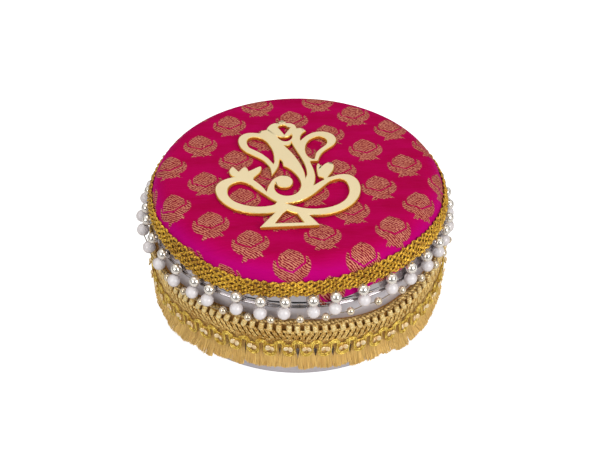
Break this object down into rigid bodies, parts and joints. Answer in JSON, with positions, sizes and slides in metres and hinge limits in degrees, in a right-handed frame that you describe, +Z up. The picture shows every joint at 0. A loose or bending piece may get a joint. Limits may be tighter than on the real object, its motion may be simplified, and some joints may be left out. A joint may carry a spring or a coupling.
{
  "type": "sweet box",
  "caption": "Round polished steel sweet box with a slip-on padded brocade lid, bead drops round its edge and a fringed gold trim round the box.",
  "frame": {"origin": "centre of the base, on the surface that the box stands on", "axes": "+Z up, -Y towards the viewer that sees the figure on the lid upright, +X to that viewer's right"},
  "size_m": [0.16, 0.16, 0.0724],
  "materials": {
    "steel": "mirror polished",
    "brocade": "silk with woven metallic buds",
    "foam": "matte",
    "gold_braid": "metallic thread",
    "gold_trim": "metallic thread",
    "gold_fringe": "silky thread",
    "tape": "matte woven",
    "thread": "matte",
    "silver": "metallised mirror",
    "pearl": "pearl lustre",
    "sequin": "metallised gloss",
    "gold_mirror": "mirror gold"
  },
  "bodies": {
    "box": {"steel_cup": "steel", "trim_tape": "tape", "header_cord": "gold_trim", "barrel_row": "gold_trim", "woven_braid": "gold_trim", "scallop_cord": "gold_trim", "sequins": "sequin", "fringe_tufts": "gold_fringe"},
    "lid": {"steel_lid": "steel", "foam_pad": "foam", "brocade_cover": "brocade", "edge_braid": "gold_braid", "silver_beads": "silver", "pearl_beads": "pearl", "small_silver_beads": "silver", "bead_thread": "thread", "elephant_figure": "gold_mirror"}
  },
  "joints": [
    {"name": "lid_lift", "type": "slide", "parent": "box", "child": "lid", "axis": [0, 0, 1], "range_m": [0, 0.04]}
  ]
}
